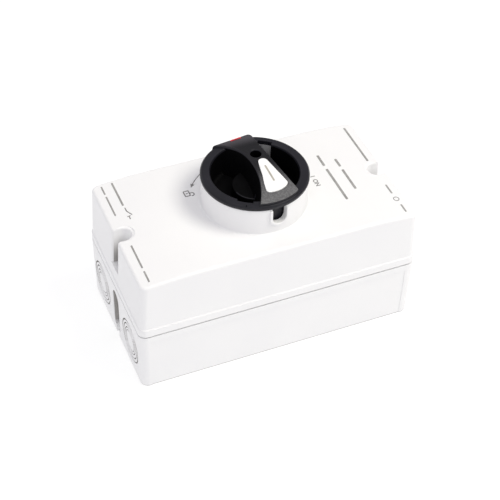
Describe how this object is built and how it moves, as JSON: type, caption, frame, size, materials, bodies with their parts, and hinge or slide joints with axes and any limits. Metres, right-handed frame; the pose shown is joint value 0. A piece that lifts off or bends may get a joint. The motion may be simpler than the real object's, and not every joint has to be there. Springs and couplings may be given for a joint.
{
  "type": "enclosed rotary isolator switch",
  "caption": "Enclosed rotary isolator switch: white two-part wall box with a round black lockable handle over a stacked contact block on a rail.",
  "frame": {"origin": "centre of the back face that lies on the wall, at the bottom of the bounding box", "axes": "+X along the enclosure towards its ON end, +Y across it in the direction the handle points at OFF, +Z out of the wall through the handle"},
  "size_m": [0.16, 0.086, 0.0968],
  "materials": {
    "white_shell": "fine satin moulded",
    "black_handle": "satin moulded, lightly textured grip",
    "white_label": "smooth",
    "red_mark": "smooth",
    "seal_rubber": "matt",
    "switch_body": "moulded",
    "rotor_plastic": "moulded",
    "zinc_steel": "zinc plated",
    "spring_steel": "drawn",
    "brass": "turned",
    "copper": "stamped copper"
  },
  "bodies": {
    "base": {"base_shell": "white_shell", "lid_gasket": "seal_rubber", "thread_insert_off": "brass", "thread_insert_on": "brass", "din_rail": "zinc_steel", "rail_screw_off": "zinc_steel", "rail_screw_on": "zinc_steel", "switch_foot": "switch_body", "clip_spring": "spring_steel", "head_housing": "switch_body", "head_plate": "zinc_steel", "tie_bolt_front": "zinc_steel", "tie_bolt_back": "zinc_steel", "snap_spring": "spring_steel", "pole_deck_1": "switch_body", "fixed_contact_off_1": "copper", "terminal_screw_off_1": "zinc_steel", "fixed_contact_on_1": "copper", "terminal_screw_on_1": "zinc_steel", "pole_deck_2": "switch_body", "fixed_contact_off_2": "copper", "terminal_screw_off_2": "zinc_steel", "fixed_contact_on_2": "copper", "terminal_screw_on_2": "zinc_steel", "pole_deck_3": "switch_body", "fixed_contact_off_3": "copper", "terminal_screw_off_3": "zinc_steel", "fixed_contact_on_3": "copper", "terminal_screw_on_3": "zinc_steel", "pole_deck_4": "switch_body", "fixed_contact_off_4": "copper", "terminal_screw_off_4": "zinc_steel", "fixed_contact_on_4": "copper", "terminal_screw_on_4": "zinc_steel"},
    "lid": {"lid_shell": "white_shell", "lid_screw_off": "zinc_steel", "lid_screw_on": "zinc_steel"},
    "handle": {"knob": "black_handle", "label_plate": "white_label", "pointer_insert": "red_mark", "retaining_ring": "spring_steel", "stem_seal": "seal_rubber"},
    "shaft": {"drive_shaft": "zinc_steel", "snap_cam": "rotor_plastic", "contact_rotor_1": "rotor_plastic", "contact_rotor_2": "rotor_plastic", "contact_rotor_3": "rotor_plastic", "contact_rotor_4": "rotor_plastic", "moving_blade_1": "copper", "moving_blade_2": "copper", "moving_blade_3": "copper", "moving_blade_4": "copper"},
    "rail_clip": {"rail_clip": "switch_body"}
  },
  "joints": [
    {"name": "lid_lift", "type": "slide", "parent": "base", "child": "lid", "axis": [0, 0, 1], "range_m": [0, 0.06]},
    {"name": "handle_turn", "type": "hinge", "parent": "lid", "child": "handle", "pos_m": [0.0006, 0, 0.0945], "axis": [0, 0, 1], "range_deg": [-97, 38]},
    {"name": "shaft_turn", "type": "hinge", "parent": "base", "child": "shaft", "pos_m": [0.0006, 0, 0.05], "axis": [0, 0, 1], "range_deg": [-97, 38]},
    {"name": "rail_clip_slide", "type": "slide", "parent": "base", "child": "rail_clip", "axis": [0, 1, 0], "range_m": [0, 0.004], "stiffness_N_per_m": 900, "springref_m": -0.002, "deforming": ["clip_spring"]}
  ],
  "couplings": [
    {"joint": "shaft_turn", "follows": "handle_turn", "ratio": 1}
  ]
}
